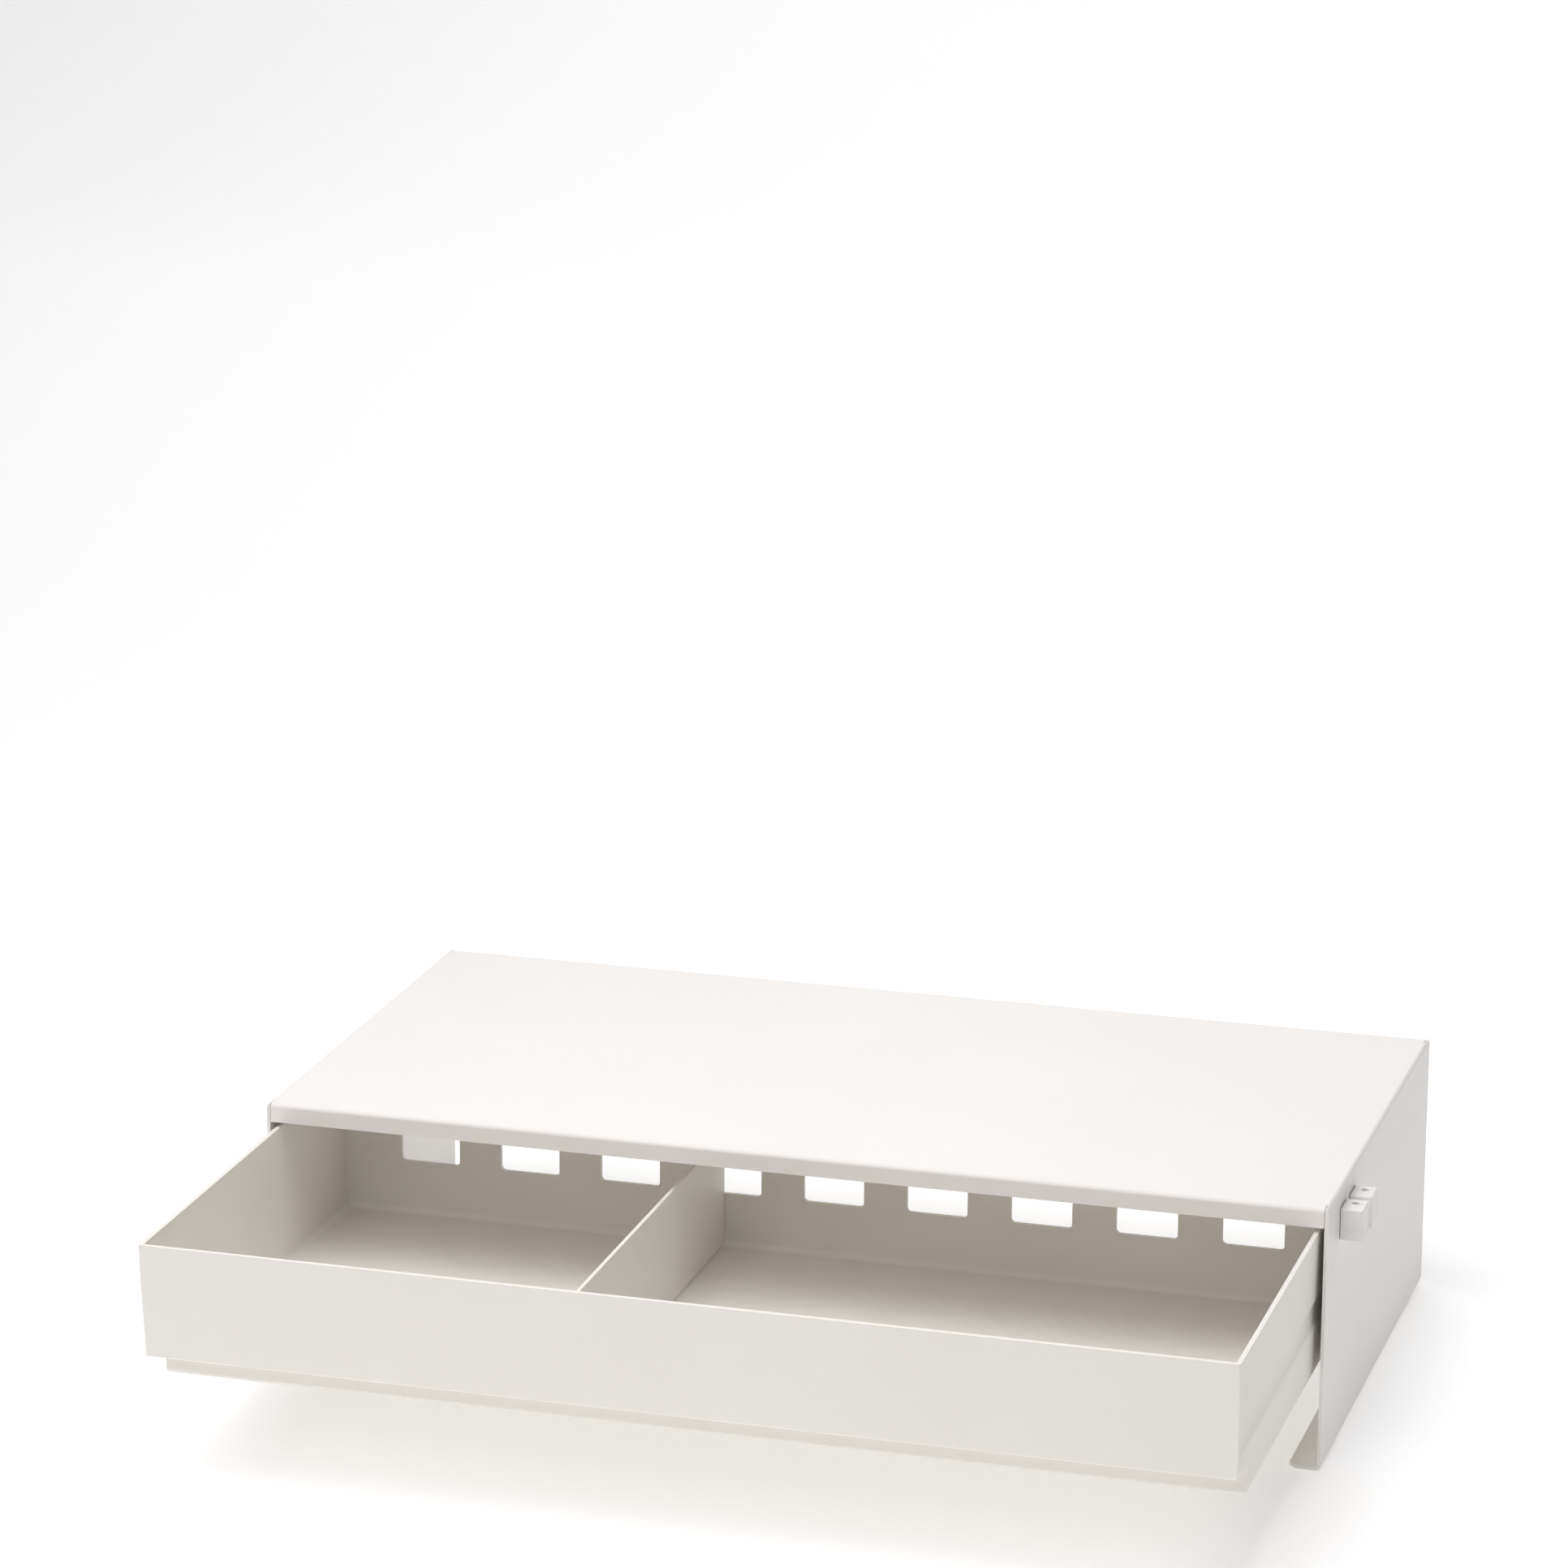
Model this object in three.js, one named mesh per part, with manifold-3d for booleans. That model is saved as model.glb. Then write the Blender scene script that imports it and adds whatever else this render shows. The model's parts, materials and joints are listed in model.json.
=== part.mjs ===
// Monitor riser stand: a folded sheet-steel riser with a pull-out moulded drawer, a divider and cable clips.
// Millimetres, +Z up. The front faces -Y. The drawer is modelled pulled out, as it stands in use.
import * as THREE from "three";
import { mergeVertices } from "three/addons/utils/BufferGeometryUtils.js";
import Module from "manifold-3d";

const wasm = await Module();
wasm.setup();

// ---- Driving dimensions -------------------------------------------------------------------------

const MATING_GAP = 0.3; // between pieces that touch
const OVERSHOOT = 1; // how far a cutter runs past the surface it opens
const CORNER_STEPS = 6; // facets in a rounded corner
const HOLE_STEPS = 16; // facets round a small hole, boss or screw
const SIDES = [
  { name: "left", sign: -1 },
  { name: "right", sign: 1 },
];

const riser = {
  width: 480,
  depth: 245,
  height: 118.5, // above the foot pads
  sheet: 1.5,
  bend: 2, // outside radius of every fold
  lip: 8.6, // front and rear lips, folded down from the top
  reliefWidth: 0.25, // slot between a lip's end and the side panel
  reliefDepth: 4.8, // to the centre of the small hole that ends the slot
  reliefRadius: 0.55,
  flange: 14, // feet folded inwards, measured from the outside
  flangeChamfer: 3,
};
riser.half = riser.width / 2;
riser.innerHalf = riser.half - riser.sheet;

const pad = { thickness: 1.2, width: 9, length: 26, inset: 14 };
pad.lift = pad.thickness + MATING_GAP;

const drawer = {
  open: 160, // how far the drawer stands out of the riser
  length: 243.5,
  half: 234.7, // half the width at the bottom
  rimHalf: 236, // half the width at the rim: the sides lean outwards
  wall: 2,
  rim: 107.5,
  panelBottom: 56,
  rake: 4, // how far the panel's lower edge lies behind its upper edge
  setback: 25, // the body's lower front, behind the panel, which leaves a finger grip
  bottom: 41,
  outerRadius: 2.2,
  floorRadius: 3,
  planRadius: 2,
  smallRadius: 1.2,
};
drawer.innerHalf = drawer.half - drawer.wall;
drawer.floor = drawer.bottom + drawer.wall;
drawer.innerRear = drawer.length - drawer.wall;
drawer.panelBack = drawer.wall + drawer.rake; // at the panel's lower edge

const window_ = { count: 9, width: 28, pitch: 48, bottom: 68, top: 92, radius: 2 };

// The groove's floor is upright, and its lower wall slopes out to the tray's side.
const groove = { bottom: 64, slopeTop: 66.5, top: 77, floorHalf: 234.2 };

const rail = {
  front: 20,
  rear: 240,
  baseHeight: 19,
  baseThickness: 2.3,
  clearance: 0.5, // between the nose and the groove's upper and lower walls
  leadIn: 3, // chamfer at the nose's two ends
};
rail.noseBottom = groove.slopeTop + rail.clearance;
rail.noseTop = groove.top - rail.clearance;
rail.middle = (rail.noseBottom + rail.noseTop) / 2;
rail.panelSide = riser.innerHalf - MATING_GAP;
rail.baseFace = rail.panelSide - rail.baseThickness;
rail.noseFace = groove.floorHalf + MATING_GAP;

const boss = { radius: 3.5, height: 0.8, bore: 1.3, boreDepth: 1.5 };
const screw = {
  headRadius: 2.8,
  crownRadius: 2,
  headThickness: 1.1,
  edgeThickness: 0.7,
  shankRadius: 1,
  shankLength: 2.8,
  recess: 0.7,
  recessLength: 3,
  recessDepth: 0.6,
};
const SCREW_PLACES = [
  { name: "front", y: 38 },
  { name: "middle", y: 130 },
  { name: "rear", y: 222 },
];

// The drawer stops when lugs on its rear corners meet two blocks on the riser's sides.
const lug = { bottom: 86, top: 98, length: 9, reach: 2.9 };
const stop = { length: 10, thickness: 1.9, extraTravel: 15, bottom: 85, top: 99, radius: 2 };
const LUG_FRONT = drawer.length - lug.length;

const divider = { centre: -52, thickness: 1.8, top: 96, lift: 1.5, endGap: 0.6, chamfer: 3, topRadius: 1 };

const clip = {
  width: 9.8,
  depth: 14,
  height: 14.4,
  radius: 1.6,
  edgeRadius: 0.9,
  bore: 1.75,
  boreBehindCentre: 1.7,
  slit: 0.6,
};
const tape = { thickness: 0.6, size: 9.5, radius: 1 };
const CLIP_PLACES = [
  { name: "front", front: 27.5, top: 109.7 },
  { name: "rear", front: 48.5, top: 108.8 },
];
const clipBack = riser.half + MATING_GAP;
const clipReach = clipBack + clip.width;

// ---- Materials ----------------------------------------------------------------------------------

const finishes = {
  powderCoat: { color: 0xeceae7, roughness: 0.55, metalness: 0 },
  drawerPlastic: { color: 0xe9e6e2, roughness: 0.5, metalness: 0 },
  railPlastic: { color: 0xd9d7d3, roughness: 0.4, metalness: 0 },
  steel: { color: 0xb9bbbd, roughness: 0.35, metalness: 1 },
  foam: { color: 0xc9c9c6, roughness: 0.95, metalness: 0 },
  stopRubber: { color: 0x8f9092, roughness: 0.85, metalness: 0 },
  clipSilicone: { color: 0xe6e6e4, roughness: 0.45, metalness: 0 },
  tapeFilm: { color: 0xcfd0d0, roughness: 0.7, metalness: 0 },
};

// ---- Solids -------------------------------------------------------------------------------------

function toSolid(geometry) {
  const bare = new THREE.BufferGeometry();
  const source = geometry.index ? geometry.toNonIndexed() : geometry;
  bare.setAttribute("position", source.getAttribute("position"));
  const merged = mergeVertices(bare, 1e-4);
  return new wasm.Manifold(
    new wasm.Mesh({
      numProp: 3,
      vertProperties: merged.getAttribute("position").array,
      triVerts: new Uint32Array(merged.index.array),
    }),
  );
}

function toGeometry(solid) {
  const mesh = solid.getMesh();
  const geometry = new THREE.BufferGeometry();
  geometry.setAttribute("position", new THREE.BufferAttribute(mesh.vertProperties, 3));
  geometry.setIndex(new THREE.BufferAttribute(mesh.triVerts, 1));
  return geometry;
}

// A closed outline through the corners [u, v, radius]; a corner with no radius stays sharp.
function outline(corners) {
  const at = (i) => {
    const [u, v] = corners[(i + corners.length) % corners.length];
    return new THREE.Vector2(u, v);
  };
  const points = [];
  corners.forEach(([, , radius = 0], i) => {
    const corner = at(i);
    if (radius === 0) {
      points.push(corner);
      return;
    }
    const back = at(i - 1).sub(corner).normalize();
    const ahead = at(i + 1).sub(corner).normalize();
    const halfAngle = Math.acos(back.dot(ahead)) / 2;
    const bisector = back.clone().add(ahead).normalize();
    const centre = corner.clone().addScaledVector(bisector, radius / Math.sin(halfAngle));
    const start = corner.clone().addScaledVector(back, radius / Math.tan(halfAngle)).sub(centre);
    const sweep = (Math.PI - 2 * halfAngle) * Math.sign(ahead.cross(back));
    for (let step = 0; step <= CORNER_STEPS; step += 1) {
      const angle = (sweep * step) / CORNER_STEPS;
      points.push(start.clone().rotateAround(new THREE.Vector2(), angle).add(centre));
    }
  });
  return new THREE.Shape(points);
}

function rectangle(u0, u1, v0, v1, radius = 0) {
  return outline([
    [u0, v0, radius],
    [u1, v0, radius],
    [u1, v1, radius],
    [u0, v1, radius],
  ]);
}

function circle(u, v, radius) {
  const points = [];
  for (let i = 0; i < HOLE_STEPS; i += 1) {
    const angle = (2 * Math.PI * i) / HOLE_STEPS;
    points.push(new THREE.Vector2(u + radius * Math.cos(angle), v + radius * Math.sin(angle)));
  }
  return new THREE.Shape(points);
}

function extrude(shape, length, placement) {
  const geometry = new THREE.ExtrudeGeometry(shape, { depth: length, bevelEnabled: false });
  return toSolid(geometry.applyMatrix4(placement));
}

// Prisms between two values on one axis. Their outlines are drawn in the other two, in X, Y, Z order.
function prismX(shapeYZ, x0, x1) {
  const turn = new THREE.Matrix4().makeBasis(
    new THREE.Vector3(0, 1, 0),
    new THREE.Vector3(0, 0, 1),
    new THREE.Vector3(1, 0, 0),
  );
  return extrude(shapeYZ, x1 - x0, turn.setPosition(x0, 0, 0));
}

function prismY(shapeXZ, y0, y1) {
  const turn = new THREE.Matrix4().makeBasis(
    new THREE.Vector3(1, 0, 0),
    new THREE.Vector3(0, 0, 1),
    new THREE.Vector3(0, -1, 0),
  );
  return extrude(shapeXZ, y1 - y0, turn.setPosition(0, y1, 0));
}

function prismZ(shapeXY, z0, z1) {
  return extrude(shapeXY, z1 - z0, new THREE.Matrix4().makeTranslation(0, 0, z0));
}

function box(x0, x1, y0, y1, z0, z1) {
  return prismZ(rectangle(Math.min(x0, x1), Math.max(x0, x1), y0, y1), z0, z1);
}

function cylinderX(x0, x1, y, z, radius) {
  return prismX(circle(y, z, radius), Math.min(x0, x1), Math.max(x0, x1));
}

// ---- Riser --------------------------------------------------------------------------------------

// Top, sides and feet: one folded strip, seen from the front.
function foldedSection() {
  const { half, innerHalf, height, sheet, bend, flange } = riser;
  const insideBend = bend - sheet;
  return outline([
    [-half + flange, 0],
    [-half + flange, sheet],
    [-innerHalf, sheet, insideBend],
    [-innerHalf, height - sheet, insideBend],
    [innerHalf, height - sheet, insideBend],
    [innerHalf, sheet, insideBend],
    [half - flange, sheet],
    [half - flange, 0],
    [half, 0, bend],
    [half, height, bend],
    [-half, height, bend],
    [-half, 0, bend],
  ].reverse());
}

// A lip in side view, folded down from the top at y = 0 and running back as far as the top's flat.
function lipSection(flat) {
  const { height, sheet, bend, lip } = riser;
  return outline([
    [0, height - lip],
    [sheet, height - lip],
    [sheet, height - sheet, bend - sheet],
    [flat, height - sheet],
    [flat, height],
    [0, height, bend],
  ]);
}

// Cuts the top's front edge away, and puts the folded lip and its two relief slots in its place.
function withFrontLip(shell) {
  const { innerHalf, height, bend, lip, reliefWidth, reliefDepth, reliefRadius } = riser;
  const lipHalf = innerHalf - reliefWidth;
  const flat = reliefDepth + reliefRadius;
  const edge = box(-lipHalf, lipHalf, -OVERSHOOT, flat, height - lip, height + OVERSHOOT);
  let made = shell.subtract(edge).add(prismX(lipSection(flat + OVERSHOOT), -lipHalf, lipHalf));
  for (const { sign } of SIDES) {
    const bottom = height - lip - OVERSHOOT;
    const top = height + OVERSHOOT;
    const middle = sign * (lipHalf + reliefWidth / 2);
    const slot = box(sign * lipHalf, sign * innerHalf, -OVERSHOOT, reliefDepth, bottom, top);
    const hole = prismZ(circle(middle, reliefDepth, reliefRadius), height - bend, top);
    made = made.subtract(slot).subtract(hole);
  }
  return made;
}

function flangeChamfers() {
  const { half, flange, flangeChamfer, sheet, depth } = riser;
  const cutters = [];
  for (const { sign } of SIDES) {
    for (const [end, inwards] of [[0, 1], [depth, -1]]) {
      const edge = sign * (half - flange);
      const corners = [
        [edge - sign * OVERSHOOT, end - inwards * OVERSHOOT],
        [edge + sign * (flangeChamfer + OVERSHOOT), end - inwards * OVERSHOOT],
        [edge - sign * OVERSHOOT, end + inwards * (flangeChamfer + OVERSHOOT)],
      ];
      const ordered = sign * inwards > 0 ? corners : corners.reverse();
      cutters.push(prismZ(outline(ordered), -OVERSHOOT, sheet + OVERSHOOT));
    }
  }
  return cutters;
}

function riserShell() {
  let shell = prismY(foldedSection(), 0, riser.depth);
  shell = withFrontLip(shell);
  const backToFront = (solid) => solid.rotate([0, 0, 180]).translate([0, riser.depth, 0]);
  shell = backToFront(withFrontLip(backToFront(shell)));
  for (const cutter of flangeChamfers()) {
    shell = shell.subtract(cutter);
  }
  for (const { sign } of SIDES) {
    for (const { y } of SCREW_PLACES) {
      const face = sign * (riser.innerHalf - boss.height);
      const root = sign * (riser.innerHalf + riser.sheet / 2);
      const boreEnd = face + sign * boss.boreDepth;
      shell = shell.add(cylinderX(face, root, y, rail.middle, boss.radius));
      shell = shell.subtract(
        cylinderX(face - sign * OVERSHOOT, boreEnd, y, rail.middle, boss.bore),
      );
    }
  }
  return shell;
}

// ---- Rails, screws and stops --------------------------------------------------------------------

// The right-hand rail. Its nose runs in the drawer's side groove, and pockets clear the bosses.
function rightRail() {
  const half = rail.baseHeight / 2;
  const base = box(
    rail.baseFace,
    rail.panelSide,
    rail.front,
    rail.rear,
    rail.middle - half,
    rail.middle + half,
  );
  const nosePlan = outline([
    [rail.baseFace + OVERSHOOT, rail.front],
    [rail.baseFace + OVERSHOOT, rail.rear],
    [rail.baseFace, rail.rear],
    [rail.noseFace, rail.rear - rail.leadIn],
    [rail.noseFace, rail.front + rail.leadIn],
    [rail.baseFace, rail.front],
  ].reverse());
  let made = base.add(prismZ(nosePlan, rail.noseBottom, rail.noseTop));
  const pocketEnd = riser.innerHalf - boss.height - MATING_GAP;
  const seat = rail.noseFace + screw.headThickness + 2 * MATING_GAP;
  for (const { y } of SCREW_PLACES) {
    made = made
      .subtract(
        cylinderX(pocketEnd, rail.panelSide + OVERSHOOT, y, rail.middle, boss.radius + MATING_GAP),
      )
      .subtract(
        cylinderX(rail.noseFace - OVERSHOOT, seat, y, rail.middle, screw.headRadius + MATING_GAP),
      )
      .subtract(
        cylinderX(rail.noseFace, pocketEnd + OVERSHOOT, y, rail.middle, screw.shankRadius + MATING_GAP),
      );
  }
  return made;
}

// A screw that points along +X, with its head's underside at x = 0 and a cross recess in the head.
function railScrew() {
  const { headRadius, crownRadius, headThickness, edgeThickness, shankRadius, shankLength } = screw;
  const { recess, recessLength, recessDepth } = screw;
  const profile = [
    [0, -headThickness],
    [crownRadius, -headThickness],
    [headRadius, -edgeThickness],
    [headRadius, 0],
    [shankRadius, 0],
    [shankRadius, shankLength - shankRadius / 2],
    [shankRadius / 2, shankLength],
    [0, shankLength],
  ].map(([radius, along]) => new THREE.Vector2(radius, along));
  const turned = new THREE.LatheGeometry(profile, HOLE_STEPS).rotateZ(-Math.PI / 2);
  let made = toSolid(turned);
  const cutEnd = -headThickness + recessDepth;
  for (const [y, z] of [[recessLength, recess], [recess, recessLength]]) {
    made = made.subtract(box(-headThickness - OVERSHOOT, cutEnd, -y / 2, y / 2, -z / 2, z / 2));
  }
  return made;
}

// The right-hand block that ends the drawer's travel.
function rightStop() {
  const rearFace = -drawer.open + LUG_FRONT - stop.extraTravel - MATING_GAP;
  const panelSide = riser.innerHalf - MATING_GAP;
  const side = rectangle(rearFace - stop.length, rearFace, stop.bottom, stop.top, stop.radius);
  return prismX(side, panelSide - stop.thickness, panelSide);
}

// ---- Feet ---------------------------------------------------------------------------------------

function footPad(sign, y) {
  const x = sign * (riser.half - riser.flange / 2);
  const plan = rectangle(
    x - pad.width / 2,
    x + pad.width / 2,
    y - pad.length / 2,
    y + pad.length / 2,
    riser.bend,
  );
  return prismZ(plan, 0, pad.thickness);
}

// ---- Drawer, in its own frame: y = 0 at the front panel's upper edge ----------------------------

// The front panel's lower edge is raked back, and below it the body is set back.
function trayOutside() {
  const { half, length, rim, bottom, panelBottom, rake, setback } = drawer;
  const { outerRadius, planRadius, smallRadius } = drawer;
  const top = rim + OVERSHOOT;
  const side = outline([
    [-(rake * OVERSHOOT) / (rim - panelBottom), top],
    [rake, panelBottom, smallRadius],
    [setback, panelBottom, smallRadius],
    [setback, bottom, outerRadius],
    [length, bottom, outerRadius],
    [length, top],
  ]);
  const front = outline([
    [-half, rim],
    [-half, bottom, outerRadius],
    [half, bottom, outerRadius],
    [half, rim],
  ]);
  const plan = outline([
    [-half, 0, smallRadius],
    [half, 0, smallRadius],
    [half, length, planRadius],
    [-half, length, planRadius],
  ]);
  return prismX(side, -half - OVERSHOOT, half + OVERSHOOT)
    .intersect(prismY(front, -OVERSHOOT, length + OVERSHOOT))
    .intersect(prismZ(plan, bottom - OVERSHOOT, rim + OVERSHOOT));
}

function trayHollow() {
  const { innerHalf, innerRear, wall, rim, floor, panelBottom, rake, setback } = drawer;
  const { floorRadius, smallRadius } = drawer;
  const top = rim + OVERSHOOT;
  const side = outline([
    [wall - (rake * OVERSHOOT) / (rim - panelBottom), top],
    [wall + rake, panelBottom + wall, smallRadius],
    [wall + setback, panelBottom + wall, smallRadius],
    [wall + setback, floor, floorRadius],
    [innerRear, floor, floorRadius],
    [innerRear, top],
  ]);
  const front = outline([
    [-innerHalf, top],
    [-innerHalf, floor, floorRadius],
    [innerHalf, floor, floorRadius],
    [innerHalf, top],
  ]);
  return prismX(side, -drawer.half, drawer.half).intersect(prismY(front, -OVERSHOOT, drawer.length));
}

// Moulding draft: the sides lean outwards from the bottom to the rim.
function drafted(solid) {
  const { half, rimHalf, rim, bottom } = drawer;
  return solid.warp((point) => {
    point[0] *= 1 + ((rimHalf / half - 1) * (point[2] - bottom)) / (rim - bottom);
  });
}

function rearWindows() {
  const cutters = [];
  for (let i = 0; i < window_.count; i += 1) {
    const x = (i - (window_.count - 1) / 2) * window_.pitch;
    const shape = rectangle(
      x - window_.width / 2,
      x + window_.width / 2,
      window_.bottom,
      window_.top,
      window_.radius,
    );
    cutters.push(prismY(shape, drawer.innerRear - OVERSHOOT, drawer.length + OVERSHOOT));
  }
  return cutters;
}

function grooveCutter(sign) {
  const { bottom, slopeTop, top, floorHalf } = groove;
  const sideAt = (z) => {
    const lean = (drawer.rimHalf - drawer.half) / (drawer.rim - drawer.bottom);
    return drawer.half + lean * (z - drawer.bottom);
  };
  const slope = (slopeTop - bottom) / (sideAt(bottom) - floorHalf);
  const outer = drawer.rimHalf + OVERSHOOT;
  const section = outline([
    [sign * floorHalf, slopeTop],
    [sign * outer, bottom - slope * (outer - sideAt(bottom))],
    [sign * outer, top],
    [sign * floorHalf, top],
  ]);
  return prismY(section, drawer.panelBack, drawer.length + OVERSHOOT);
}

function drawerTray() {
  let tray = drafted(trayOutside().subtract(trayHollow()));
  for (const cutter of rearWindows()) {
    tray = tray.subtract(cutter);
  }
  for (const { sign } of SIDES) {
    tray = tray.subtract(grooveCutter(sign));
    const lugSide = outline([
      [LUG_FRONT, lug.bottom],
      [drawer.length - drawer.planRadius, lug.bottom],
      [drawer.length - drawer.planRadius, lug.top - lug.reach],
      [drawer.length - drawer.planRadius - lug.reach, lug.top],
      [LUG_FRONT, lug.top],
    ]);
    const lugEnds = [sign * drawer.half, sign * (drawer.half + lug.reach)].sort((a, b) => a - b);
    tray = tray.add(prismX(lugSide, ...lugEnds));
  }
  return tray;
}

// An upright plate that stands across the tray and clears the step behind the front panel.
function drawerDivider() {
  const { centre, thickness, top, lift, endGap, chamfer, topRadius } = divider;
  const { wall, rim, panelBottom, rake, setback, innerRear, floor } = drawer;
  const panelInside = (z) => wall + (rake * (rim - z)) / (rim - panelBottom);
  const stepTop = panelBottom + wall + lift;
  const bottom = floor + lift;
  const stepFront = wall + setback + endGap;
  const rear = innerRear - endGap;
  const side = outline([
    [panelInside(top) + endGap, top, topRadius],
    [panelInside(stepTop) + endGap, stepTop],
    [stepFront, stepTop],
    [stepFront, bottom],
    [rear - chamfer, bottom],
    [rear, bottom + chamfer],
    [rear, top, topRadius],
  ]);
  return prismX(side, centre - thickness / 2, centre + thickness / 2);
}

// ---- Cable clips --------------------------------------------------------------------------------

// The clip's block. Its edges are rounded, except round the back face, which lies on the riser's side.
function clipBlock(front, rear, bottom, top) {
  const { radius, edgeRadius } = clip;
  const section = (v0, v1, rounding) => outline([
    [clipBack, v0],
    [clipReach, v0, rounding],
    [clipReach, v1, rounding],
    [clipBack, v1],
  ]);
  const alongX = prismX(rectangle(front, rear, bottom, top, edgeRadius), clipBack, clipReach);
  const alongY = prismY(section(bottom, top, edgeRadius), front, rear);
  const alongZ = prismZ(section(front, rear, radius), bottom, top);
  return alongX.intersect(alongY).intersect(alongZ);
}

// The cable runs down the bore, and goes in through the slit. The tape lies in a recess in the back.
function cableClip({ front, top }) {
  const { width, depth, height, bore, boreBehindCentre, slit } = clip;
  const x = clipBack + width / 2;
  const middle = front + depth / 2;
  const y = middle + boreBehindCentre;
  const bottom = top - height;
  const z = (bottom + top) / 2;
  const recessHalf = tape.size / 2 + MATING_GAP;
  const recessEnd = clipBack + tape.thickness + MATING_GAP;
  const hole = prismZ(circle(x, y, bore), bottom - OVERSHOOT, top + OVERSHOOT);
  const slot = box(
    x,
    clipReach + OVERSHOOT,
    y - slit / 2,
    y + slit / 2,
    bottom - OVERSHOOT,
    top + OVERSHOOT,
  );
  const recess = box(
    clipBack - OVERSHOOT,
    recessEnd,
    middle - recessHalf,
    middle + recessHalf,
    z - recessHalf,
    z + recessHalf,
  );
  return clipBlock(front, front + depth, bottom, top).subtract(hole).subtract(slot).subtract(recess);
}

function clipTape({ front, top }) {
  const y = front + clip.depth / 2;
  const z = top - clip.height / 2;
  const half = tape.size / 2;
  const face = rectangle(y - half, y + half, z - half, z + half, tape.radius);
  return prismX(face, clipBack, clipBack + tape.thickness);
}

// ---- Assembly -----------------------------------------------------------------------------------

function piece(name, solid, finish) {
  const mesh = new THREE.Mesh(toGeometry(solid), new THREE.MeshStandardMaterial(finishes[finish]));
  mesh.name = name;
  return mesh;
}

function mirrored(solid) {
  return solid.mirror([1, 0, 0]);
}

const onPads = new THREE.Group();
onPads.position.z = pad.lift;
onPads.add(piece("riser_shell", riserShell(), "powderCoat"));
for (const { name, sign } of SIDES) {
  const handed = (solid) => (sign > 0 ? solid : mirrored(solid));
  onPads.add(piece(`rail_${name}`, handed(rightRail()), "railPlastic"));
  onPads.add(piece(`drawer_stop_${name}`, handed(rightStop()), "stopRubber"));
  for (const place of SCREW_PLACES) {
    const fitted = piece(`rail_screw_${name}_${place.name}`, handed(railScrew()), "steel");
    const headUnderside = rail.noseFace + MATING_GAP + screw.headThickness;
    fitted.position.set(sign * headUnderside, place.y, rail.middle);
    onPads.add(fitted);
  }
}
for (const place of CLIP_PLACES) {
  onPads.add(piece(`cable_clip_${place.name}`, cableClip(place), "clipSilicone"));
  onPads.add(piece(`clip_tape_${place.name}`, clipTape(place), "tapeFilm"));
}

const pulledOut = new THREE.Group();
pulledOut.position.y = -drawer.open;
pulledOut.add(piece("drawer_tray", drawerTray(), "drawerPlastic"));
pulledOut.add(piece("drawer_divider", drawerDivider(), "drawerPlastic"));
onPads.add(pulledOut);

const feet = new THREE.Group();
for (const { name, sign } of SIDES) {
  const ends = { front: pad.inset + pad.length / 2, rear: riser.depth - pad.inset - pad.length / 2 };
  for (const [end, y] of Object.entries(ends)) {
    feet.add(piece(`foot_pad_${end}_${name}`, footPad(sign, y), "foam"));
  }
}

// The origin lies under the middle of the whole object, on the surface that it stands on.
const group = new THREE.Group();
group.add(onPads, feet);
group.position.x = -(clipReach - riser.half) / 2;
group.position.y = (drawer.open - riser.depth) / 2;

export default group;
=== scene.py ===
"""The looks of the monitor riser stand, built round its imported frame. Metres, +Z up, the front faces -Y."""

import json
import math

import bmesh
import bpy
from mathutils import Matrix, Vector

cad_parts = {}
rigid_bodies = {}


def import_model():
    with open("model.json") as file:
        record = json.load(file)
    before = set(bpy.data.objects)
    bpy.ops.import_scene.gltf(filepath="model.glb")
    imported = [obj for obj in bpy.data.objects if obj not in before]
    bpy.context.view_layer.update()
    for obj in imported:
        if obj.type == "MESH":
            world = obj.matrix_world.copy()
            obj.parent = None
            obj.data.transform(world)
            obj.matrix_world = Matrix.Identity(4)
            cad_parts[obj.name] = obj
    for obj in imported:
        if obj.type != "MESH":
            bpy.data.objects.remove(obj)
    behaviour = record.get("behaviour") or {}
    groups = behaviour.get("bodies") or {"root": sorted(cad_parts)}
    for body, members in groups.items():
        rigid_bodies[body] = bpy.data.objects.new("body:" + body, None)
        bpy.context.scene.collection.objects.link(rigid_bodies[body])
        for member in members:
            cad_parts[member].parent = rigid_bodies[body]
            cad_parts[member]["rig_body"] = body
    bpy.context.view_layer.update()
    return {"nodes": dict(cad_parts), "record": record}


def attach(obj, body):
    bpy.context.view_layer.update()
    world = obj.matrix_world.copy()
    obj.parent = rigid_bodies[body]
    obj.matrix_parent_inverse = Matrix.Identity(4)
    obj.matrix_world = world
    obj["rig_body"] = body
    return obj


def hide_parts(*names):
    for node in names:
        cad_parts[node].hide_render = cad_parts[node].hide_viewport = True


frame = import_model()

MM = 0.001
NOISE_LOW, NOISE_HIGH = 0.25, 0.75  # the usual swing of a noise texture
EDGE_LIKENESS = 0.75  # how alike a face's and its rounded edge's normals are where the edge mask is full
EDGE_SAMPLES = 4

# ---- Node helpers --------------------------------------------------------------------------------


def new_material(name):
    """A material with a node tree, its Principled shader, and a place to add nodes."""
    material = bpy.data.materials.new(name)
    material.use_nodes = True
    tree = material.node_tree
    shader = next(n for n in tree.nodes if n.type == "BSDF_PRINCIPLED")
    return material, tree, shader


def add(tree, kind, **settings):
    """A new node. A setting named after an input socket sets its value, and the others are properties."""
    node = tree.nodes.new(kind)
    for name, value in settings.items():
        socket = name.replace("_", " ").title()
        if socket in node.inputs:
            node.inputs[socket].default_value = value
        else:
            setattr(node, name, value)
    return node


def object_coordinates(tree):
    """Coordinates in metres that move with the piece."""
    return add(tree, "ShaderNodeTexCoord").outputs["Object"]


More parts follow.
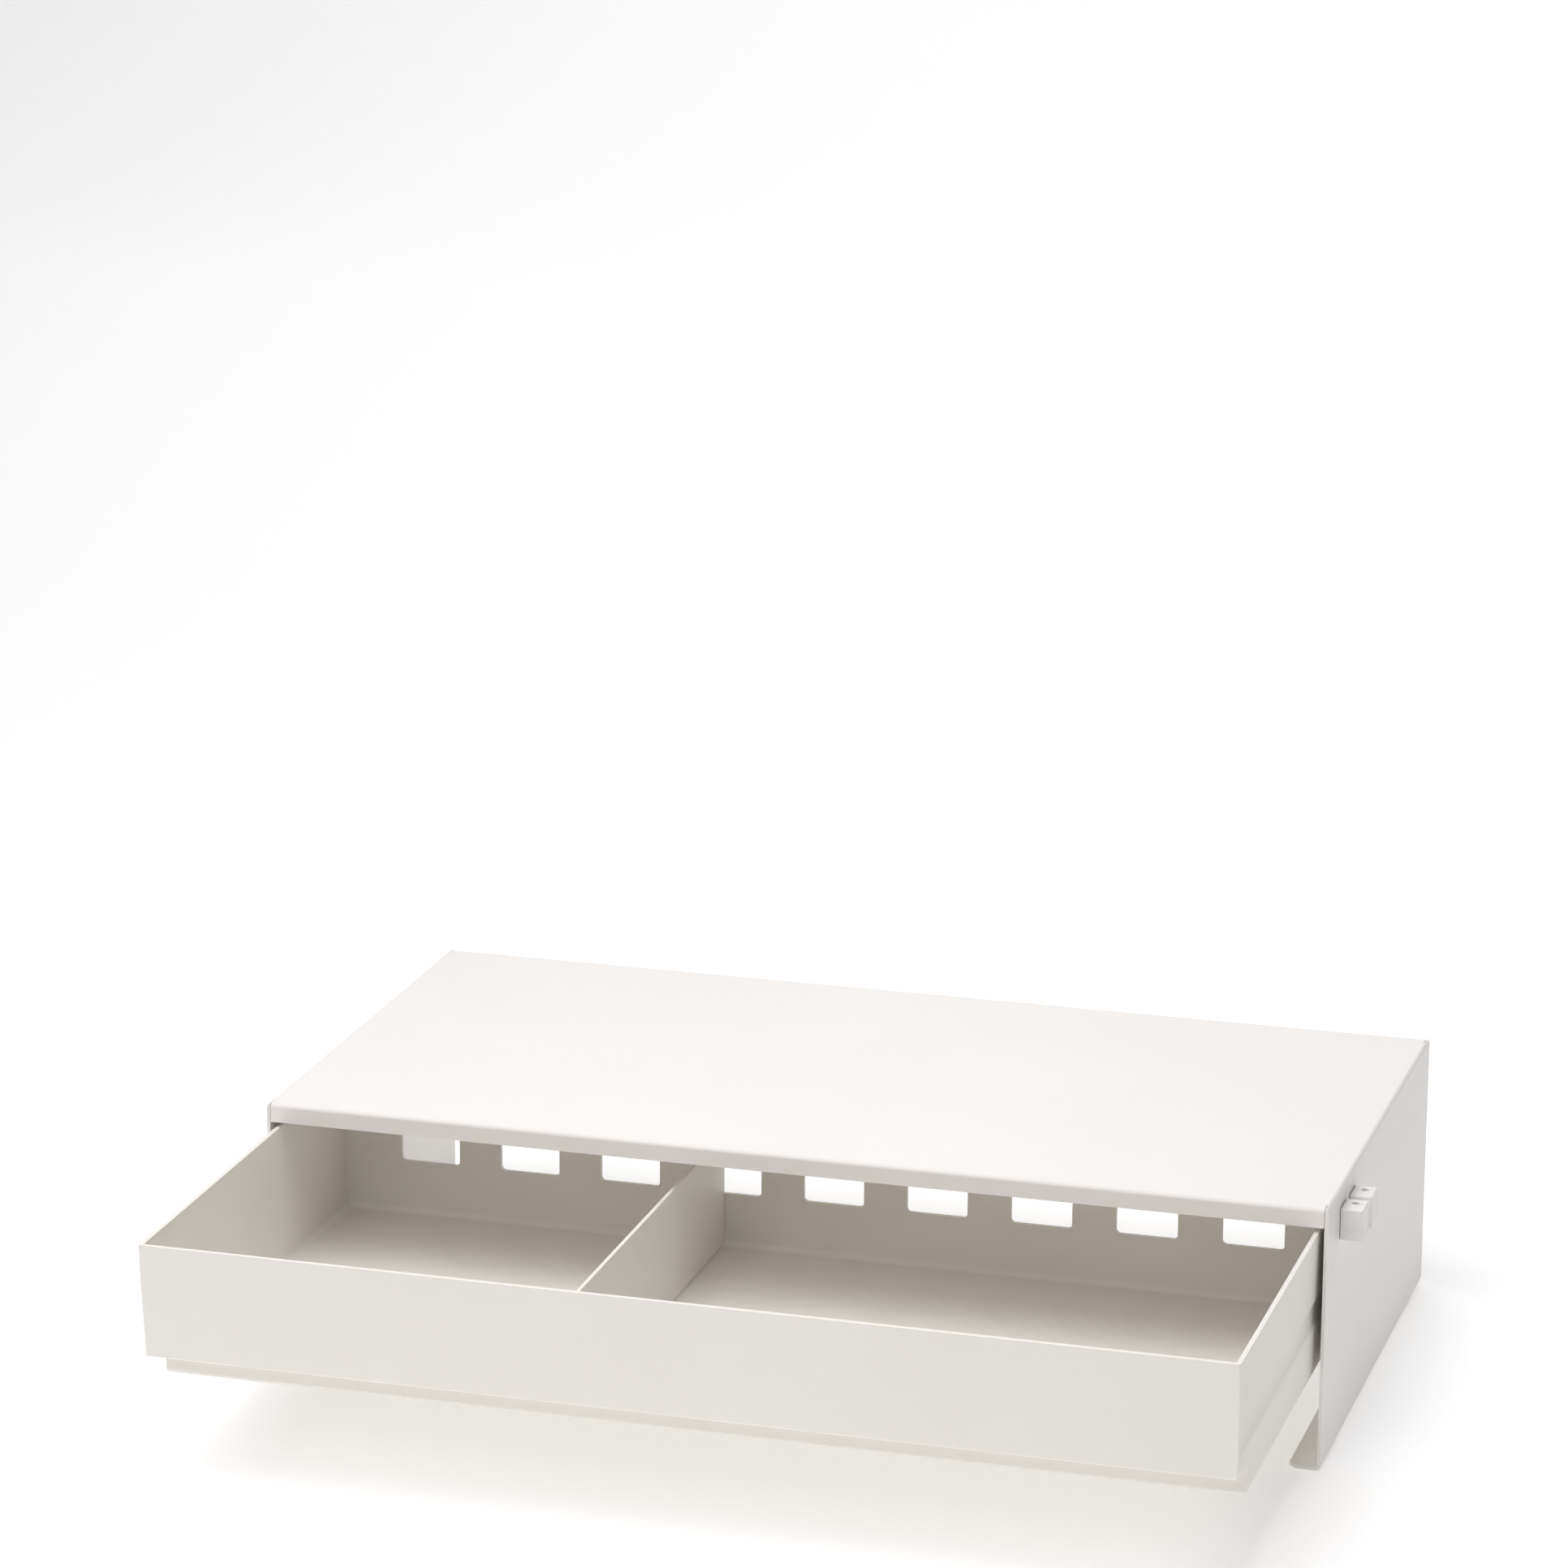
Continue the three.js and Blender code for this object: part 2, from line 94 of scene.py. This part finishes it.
def noise(tree, coordinates, feature, detail=2.0, roughness=0.5):
    """Noise with features of about that size in metres, centred on 0.5."""
    node = add(tree, "ShaderNodeTexNoise", scale=1 / feature, detail=detail, roughness=roughness)
    tree.links.new(coordinates, node.inputs["Vector"])
    return node.outputs["Fac"]


def spread(tree, value, low, high):
    """Noise near 0.5 brought to a range, so that its usual swing fills it."""
    node = add(tree, "ShaderNodeMapRange", from_min=NOISE_LOW, from_max=NOISE_HIGH, to_min=low, to_max=high)
    tree.links.new(value, node.inputs["Value"])
    return node.outputs["Result"]


def mixed(tree, factor, first, second):
    """A colour between two others. Each is a colour or a socket."""
    node = add(tree, "ShaderNodeMix", data_type="RGBA")
    tree.links.new(factor, node.inputs["Factor"])
    for socket, value in (("A", first), ("B", second)):
        target = next(i for i in node.inputs if i.name == socket and i.type == "RGBA")
        if isinstance(value, bpy.types.NodeSocket):
            tree.links.new(value, target)
        else:
            target.default_value = (*value, 1)
    return next(o for o in node.outputs if o.type == "RGBA")


def bumped(tree, shader, heights):
    """Stacks bumps on the shader's normal. Each is (height socket, depth in metres)."""
    normal = None
    for height, depth in heights:
        node = add(tree, "ShaderNodeBump", distance=depth)
        tree.links.new(height, node.inputs["Height"])
        if normal is not None:
            tree.links.new(normal, node.inputs["Normal"])
        normal = node.outputs["Normal"]
    tree.links.new(normal, shader.inputs["Normal"])


def edge_mask(tree, radius):
    """1 along convex and concave edges, fading to 0 within the radius."""
    rounded = add(tree, "ShaderNodeBevel", samples=EDGE_SAMPLES, radius=radius)
    geometry = add(tree, "ShaderNodeNewGeometry")
    likeness = add(tree, "ShaderNodeVectorMath", operation="DOT_PRODUCT")
    tree.links.new(rounded.outputs["Normal"], likeness.inputs[0])
    tree.links.new(geometry.outputs["Normal"], likeness.inputs[1])
    node = add(tree, "ShaderNodeMapRange", from_min=1.0, from_max=EDGE_LIKENESS)
    tree.links.new(likeness.outputs["Value"], node.inputs["Value"])
    return node.outputs["Result"]


# ---- Materials -----------------------------------------------------------------------------------
# Each pair of colours is the darker and the lighter one that the surface drifts between.

COAT_COLOURS = (0.850, 0.820, 0.787), (0.866, 0.838, 0.806)
# Painted highlight: a paler colour along the riser's edges, standing in for light catching their rounding,
# and how far in from the edges it reaches.
PAINTED_EDGE_HIGHLIGHT_COLOUR = (0.880, 0.858, 0.830)
PAINTED_EDGE_HIGHLIGHT_RADIUS = 0.8 * MM
TRAY_COLOURS = (0.846, 0.816, 0.756), (0.862, 0.834, 0.778)
RAIL_COLOURS = (0.66, 0.65, 0.63), (0.70, 0.69, 0.67)
SILICONE_COLOURS = (0.78, 0.765, 0.745), (0.83, 0.815, 0.795)
SILICONE_DEPTHS = (1.0, 0.9, 0.8)  # how far red, green and blue go in, times the scale
SILICONE_SCALE = 2 * MM
SILICONE_SHARE = 0.6
ZINC_COLOURS = (0.60, 0.61, 0.64), (0.66, 0.64, 0.58)
STOP_COLOURS = (0.25, 0.25, 0.26), (0.31, 0.31, 0.32)
FOOT_COLOURS = (0.58, 0.58, 0.56), (0.66, 0.66, 0.64)
TAPE_COLOURS = (0.58, 0.58, 0.58), (0.66, 0.66, 0.66)
ROUGHNESS_DRIFT = 0.05
CELL_DEPTH = 0.15  # of a cell's width


def powder_coat():
    """Warm white satin powder coat with faint orange peel, and a painted highlight: a paler colour along its
    convex and concave edges.
    """
    material, tree, shader = new_material("powder_coat")
    at = object_coordinates(tree)
    cloud = spread(tree, noise(tree, at, feature=90 * MM), 0, 1)
    colour = mixed(tree, cloud, *COAT_COLOURS)
    # Painted highlight: the edge mask blends the paler colour in along convex and concave edges.
    edge = edge_mask(tree, PAINTED_EDGE_HIGHLIGHT_RADIUS)
    colour = mixed(tree, edge, colour, PAINTED_EDGE_HIGHLIGHT_COLOUR)
    tree.links.new(colour, shader.inputs["Base Color"])
    gloss = spread(tree, noise(tree, at, feature=3 * MM, detail=3), low=0.40, high=0.48)
    tree.links.new(gloss, shader.inputs["Roughness"])
    peel = noise(tree, at, feature=1.1 * MM, detail=1)
    grit = noise(tree, at, feature=0.35 * MM, detail=2)
    bumped(tree, shader, [(peel, 0.035 * MM), (grit, 0.008 * MM)])
    return material


def moulded_plastic(name, colours, grain):
    """Satin plastic with the fine even grain of an etched mould and faint flow marks."""
    material, tree, shader = new_material(name)
    at = object_coordinates(tree)
    cloud = spread(tree, noise(tree, at, feature=70 * MM), 0, 1)
    tree.links.new(mixed(tree, cloud, *colours), shader.inputs["Base Color"])
    gloss = spread(tree, noise(tree, at, feature=2.5 * MM, detail=3), low=0.44, high=0.54)
    tree.links.new(gloss, shader.inputs["Roughness"])
    flow = noise(tree, at, feature=18 * MM, detail=1)
    etched = noise(tree, at, feature=grain, detail=3, roughness=0.6)
    bumped(tree, shader, [(flow, 0.03 * MM), (etched, 0.012 * MM)])
    return material


def soft_silicone():
    """Milky translucent clip material with a satin, faintly mottled surface."""
    material, tree, shader = new_material("soft_silicone")
    at = object_coordinates(tree)
    cloud = spread(tree, noise(tree, at, feature=5 * MM), 0, 1)
    tree.links.new(mixed(tree, cloud, *SILICONE_COLOURS), shader.inputs["Base Color"])
    gloss = spread(tree, noise(tree, at, feature=1.5 * MM, detail=2), low=0.34, high=0.46)
    tree.links.new(gloss, shader.inputs["Roughness"])
    bumped(tree, shader, [(noise(tree, at, feature=0.6 * MM, detail=2), 0.012 * MM)])
    shader.inputs["Subsurface Weight"].default_value = SILICONE_SHARE
    shader.inputs["Subsurface Radius"].default_value = SILICONE_DEPTHS
    shader.inputs["Subsurface Scale"].default_value = SILICONE_SCALE
    return material


def cellular(name, colours, cell, roughness):
    """Foam or rubber: fine closed cells over an even tone."""
    material, tree, shader = new_material(name)
    at = object_coordinates(tree)
    tone = spread(tree, noise(tree, at, feature=4 * cell, detail=3), 0, 1)
    tree.links.new(mixed(tree, tone, *colours), shader.inputs["Base Color"])
    drift = noise(tree, at, feature=3 * cell)
    gloss = spread(tree, drift, roughness - ROUGHNESS_DRIFT, roughness + ROUGHNESS_DRIFT)
    tree.links.new(gloss, shader.inputs["Roughness"])
    cells = add(tree, "ShaderNodeTexVoronoi", scale=1 / cell)
    tree.links.new(at, cells.inputs["Vector"])
    bumped(tree, shader, [(cells.outputs["Distance"], CELL_DEPTH * cell)])
    return material


def zinc_plate():
    """Bright zinc with faint straw and blue tints and a fine grain."""
    material, tree, shader = new_material("zinc_plate")
    at = object_coordinates(tree)
    tint = spread(tree, noise(tree, at, feature=3 * MM), 0, 1)
    tree.links.new(mixed(tree, tint, *ZINC_COLOURS), shader.inputs["Base Color"])
    shader.inputs["Metallic"].default_value = 1.0
    gloss = spread(tree, noise(tree, at, feature=0.5 * MM, detail=3), low=0.22, high=0.42)
    tree.links.new(gloss, shader.inputs["Roughness"])
    bumped(tree, shader, [(noise(tree, at, feature=0.25 * MM, detail=2), 0.01 * MM)])
    return material


# ---- Pieces --------------------------------------------------------------------------------------

WELD = 0.002 * MM  # points this close are one
FLAT = math.radians(1)  # neighbouring faces within this angle are one face
SHARP = math.radians(28)  # an edge that turns more than this is rounded
EDGE_SEGMENTS = 3
LARGE_FACES_LEAD = 100  # the most weight that large faces can have in the normals


def softened(node, material, edge):
    """A piece with a CAD node's shape, its flat faces whole and its sharp edges rounded."""
    shape = bmesh.new()
    shape.from_mesh(frame["nodes"][node].data)
    bmesh.ops.remove_doubles(shape, verts=shape.verts, dist=WELD)
    bmesh.ops.dissolve_limit(shape, angle_limit=FLAT, verts=shape.verts, edges=shape.edges)
    for face in shape.faces:
        face.smooth = True
    mesh = bpy.data.meshes.new(node + "_look")
    shape.to_mesh(mesh)
    shape.free()
    mesh.materials.append(material)
    piece = bpy.data.objects.new(node + "_look", mesh)
    bpy.context.scene.collection.objects.link(piece)
    rounding = piece.modifiers.new("rounded_edges", "BEVEL")
    rounding.limit_method = "ANGLE"
    rounding.angle_limit = SHARP
    rounding.width = edge
    rounding.segments = EDGE_SEGMENTS
    rounding.miter_outer = "MITER_ARC"
    shading = piece.modifiers.new("flat_faces_stay_flat", "WEIGHTED_NORMAL")
    shading.weight = LARGE_FACES_LEAD
    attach(piece, frame["nodes"][node]["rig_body"])
    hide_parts(node)


tray_plastic = moulded_plastic("tray_plastic", TRAY_COLOURS, grain=0.5 * MM)
rail_plastic = moulded_plastic("rail_plastic", RAIL_COLOURS, grain=0.4 * MM)
stop_rubber = cellular("stop_rubber", STOP_COLOURS, cell=0.4 * MM, roughness=0.8)
foot_foam = cellular("foot_foam", FOOT_COLOURS, cell=0.5 * MM, roughness=0.9)
tape_foam = cellular("tape_foam", TAPE_COLOURS, cell=0.3 * MM, roughness=0.85)

# Each material slot's look and how far its edges are rounded.
LOOKS = {
    "powder_coated_steel": (powder_coat(), 0.2 * MM),
    "drawer_plastic": (tray_plastic, 0.5 * MM),
    "divider_plastic": (tray_plastic, 0.4 * MM),
    "rail_plastic": (rail_plastic, 0.3 * MM),
    "screw_steel": (zinc_plate(), 0.12 * MM),
    "stop_rubber": (stop_rubber, 0.4 * MM),
    "foot_rubber": (foot_foam, 0.2 * MM),
    "clip_silicone": (soft_silicone(), 0.25 * MM),
    "adhesive_tape": (tape_foam, 0.1 * MM),
}

for part in frame["record"]["subparts"]:
    material, edge = LOOKS[part["material_slot"]]
    softened(part["node"], material, edge)

# ---- Studio --------------------------------------------------------------------------------------

FLOOR_COLOUR = (0.93, 0.93, 0.93, 1)
FLOOR_ROUGHNESS = 0.9
FLOOR_GLOW = 0.3
WHITE = (1, 1, 1, 1)
WORLD_STRENGTH = 0.12
COOL_ROSE = (0.95, 0.91, 1.0)


def backdrop():
    """A pale table that glows a little and curves up behind the object, so shadows on it stay light."""
    half_width, front, rear, height, bend, steps = 6.0, -5.0, 4.0, 5.0, 1.5, 24
    centre = Vector((0, rear - bend, bend))
    profile = [Vector((0, front, 0))]
    for step in range(steps + 1):
        angle = math.pi / 2 * step / steps
        profile.append(centre + Vector((0, math.sin(angle), -math.cos(angle))) * bend)
    profile.append(Vector((0, rear, height)))
    shape = bmesh.new()
    rows = []
    for point in profile:
        rows.append([shape.verts.new(point + Vector((x, 0, 0))) for x in (-half_width, half_width)])
    for near, far in zip(rows, rows[1:]):
        face = shape.faces.new((near[0], near[1], far[1], far[0]))
        face.smooth = True
    mesh = bpy.data.meshes.new("backdrop")
    shape.to_mesh(mesh)
    shape.free()
    floor = bpy.data.objects.new("backdrop", mesh)
    bpy.context.scene.collection.objects.link(floor)
    material, _, shader = new_material("pale_floor")
    shader.inputs["Base Color"].default_value = FLOOR_COLOUR
    shader.inputs["Roughness"].default_value = FLOOR_ROUGHNESS
    shader.inputs["Emission Color"].default_value = WHITE
    shader.inputs["Emission Strength"].default_value = FLOOR_GLOW
    mesh.materials.append(material)


def softbox(name, place, target, size, power, colour=(1, 1, 1)):
    """A square area light that faces the target."""
    light = bpy.data.lights.new(name, "AREA")
    light.shape = "SQUARE"
    light.size = size
    light.energy = power
    light.color = colour
    lamp = bpy.data.objects.new(name, light)
    lamp.location = place
    lamp.rotation_euler = (Vector(target) - Vector(place)).to_track_quat("-Z", "Y").to_euler()
    bpy.context.scene.collection.objects.link(lamp)


def studio_light():
    """Softboxes above, in front, behind and on the right, and one that whitens the backdrop."""
    world = bpy.data.worlds.new("studio")
    bpy.context.scene.world = world
    world.use_nodes = True
    sky = world.node_tree.nodes["Background"]
    sky.inputs["Color"].default_value = WHITE
    sky.inputs["Strength"].default_value = WORLD_STRENGTH
    middle = (0, -0.1, 0.1)
    softbox("above", (0.0, -0.35, 1.2), middle, size=0.8, power=7.0)
    softbox("above_left", (-0.7, -0.3, 1.2), middle, size=0.8, power=4.5)
    softbox("above_front", (-0.15, -1.8, 1.7), middle, size=1.4, power=12.2, colour=COOL_ROSE)
    softbox("above_rear", (0.0, 0.9, 1.2), middle, size=0.9, power=2.0)
    softbox("right", (2.6, -0.6, 0.9), middle, size=1.6, power=3.1)
    softbox("backdrop_wash", (0.0, 2.0, 2.4), (0, 3.8, 0.2), size=2.5, power=36)


def camera():
    """The photograph's view: aimed above the riser, where the computer would stand."""
    place = Vector((0.6475, -2.2984, 0.9340))
    aim = Vector((-0.0182, 0.0, 0.2749))
    roll = math.radians(0.32)
    lens = bpy.data.cameras.new("camera")
    lens.sensor_width = 36  # millimetres, as is the focal length
    lens.lens = 131.13
    eye = bpy.data.objects.new("camera", lens)
    eye.location = place
    facing = (aim - place).to_track_quat("-Z", "Y").to_matrix().to_4x4()
    eye.rotation_euler = (facing @ Matrix.Rotation(roll, 4, "Z")).to_euler()
    bpy.context.scene.collection.objects.link(eye)
    bpy.context.scene.camera = eye


backdrop()
studio_light()
camera()
bpy.context.scene.view_settings.view_transform = "Standard"
